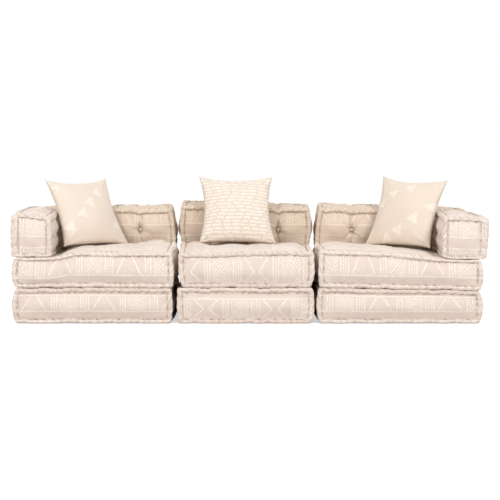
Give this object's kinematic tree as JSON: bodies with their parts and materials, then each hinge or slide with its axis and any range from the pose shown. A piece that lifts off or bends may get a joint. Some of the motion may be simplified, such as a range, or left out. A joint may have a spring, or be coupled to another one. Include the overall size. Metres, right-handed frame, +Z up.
{
  "type": "modular floor sofa bed",
  "caption": "Low modular sofa bed of loose hand-tufted cotton mattresses stacked as bases, seats, back bolsters and end arm bolsters, with leaning throw pillows.",
  "frame": {"origin": "on the floor, under the middle of the whole set's bounding box", "axes": "+X to the right along the front as seen from the front, +Y towards the back bolsters, +Z up"},
  "size_m": [2.7722, 0.8, 0.8415],
  "materials": {
    "printed_cotton": "matte cotton with a white geometric block print",
    "cotton_batting": "felted cotton",
    "tuft_cotton": "cotton yarn",
    "triangle_cotton": "matte cotton with scattered cream triangles",
    "dashed_cotton": "matte cotton with rows of cream dashes",
    "pillow_wadding": "soft wadding"
  },
  "bodies": {
    "left_base": {"left_base_cover": "printed_cotton", "left_base_filling": "cotton_batting", "left_base_tufts": "tuft_cotton"},
    "left_seat": {"left_seat_cover": "printed_cotton", "left_seat_filling": "cotton_batting", "left_seat_tufts": "tuft_cotton"},
    "left_back": {"left_back_cover": "printed_cotton", "left_back_filling": "cotton_batting", "left_back_tufts": "tuft_cotton"},
    "left_arm": {"left_arm_cover": "printed_cotton", "left_arm_filling": "cotton_batting", "left_arm_tufts": "tuft_cotton"},
    "left_pillow": {"left_pillow_cover": "triangle_cotton", "left_pillow_insert": "pillow_wadding"},
    "middle_base": {"middle_base_cover": "printed_cotton", "middle_base_filling": "cotton_batting", "middle_base_tufts": "tuft_cotton"},
    "middle_seat": {"middle_seat_cover": "printed_cotton", "middle_seat_filling": "cotton_batting", "middle_seat_tufts": "tuft_cotton"},
    "middle_back": {"middle_back_cover": "printed_cotton", "middle_back_filling": "cotton_batting", "middle_back_tufts": "tuft_cotton"},
    "middle_pillow": {"middle_pillow_cover": "dashed_cotton", "middle_pillow_insert": "pillow_wadding"},
    "right_base": {"right_base_cover": "printed_cotton", "right_base_filling": "cotton_batting", "right_base_tufts": "tuft_cotton"},
    "right_seat": {"right_seat_cover": "printed_cotton", "right_seat_filling": "cotton_batting", "right_seat_tufts": "tuft_cotton"},
    "right_back": {"right_back_cover": "printed_cotton", "right_back_filling": "cotton_batting", "right_back_tufts": "tuft_cotton"},
    "right_arm": {"right_arm_cover": "printed_cotton", "right_arm_filling": "cotton_batting", "right_arm_tufts": "tuft_cotton"},
    "right_pillow": {"right_pillow_cover": "triangle_cotton", "right_pillow_insert": "pillow_wadding"}
  },
  "joints": [
    {"name": "left_module_slide", "type": "slide", "parent": "middle_base", "child": "left_base", "axis": [-1, 0, 0], "range_m": [0, 0.5]},
    {"name": "left_seat_lift", "type": "slide", "parent": "left_base", "child": "left_seat", "axis": [0, 0, 1], "range_m": [0, 0.3]},
    {"name": "left_back_lift", "type": "slide", "parent": "left_seat", "child": "left_back", "axis": [0, 0, 1], "range_m": [0, 0.3]},
    {"name": "left_arm_lift", "type": "slide", "parent": "left_seat", "child": "left_arm", "axis": [-0.7071, 0, 0.7071], "range_m": [0, 0.3]},
    {"name": "left_pillow_lift", "type": "slide", "parent": "left_back", "child": "left_pillow", "axis": [0.3147, -0.3886, 0.866], "range_m": [0, 0.4]},
    {"name": "middle_seat_lift", "type": "slide", "parent": "middle_base", "child": "middle_seat", "axis": [0, 0, 1], "range_m": [0, 0.3]},
    {"name": "middle_back_lift", "type": "slide", "parent": "middle_seat", "child": "middle_back", "axis": [0, 0, 1], "range_m": [0, 0.3]},
    {"name": "middle_pillow_lift", "type": "slide", "parent": "middle_back", "child": "middle_pillow", "axis": [0, -0.5, 0.866], "range_m": [0, 0.4]},
    {"name": "right_module_slide", "type": "slide", "parent": "middle_base", "child": "right_base", "axis": [1, 0, 0], "range_m": [0, 0.5]},
    {"name": "right_seat_lift", "type": "slide", "parent": "right_base", "child": "right_seat", "axis": [0, 0, 1], "range_m": [0, 0.3]},
    {"name": "right_back_lift", "type": "slide", "parent": "right_seat", "child": "right_back", "axis": [0, 0, 1], "range_m": [0, 0.3]},
    {"name": "right_arm_lift", "type": "slide", "parent": "right_seat", "child": "right_arm", "axis": [0.7071, 0, 0.7071], "range_m": [0, 0.3]},
    {"name": "right_pillow_lift", "type": "slide", "parent": "right_back", "child": "right_pillow", "axis": [-0.2939, -0.4045, 0.866], "range_m": [0, 0.4]}
  ]
}
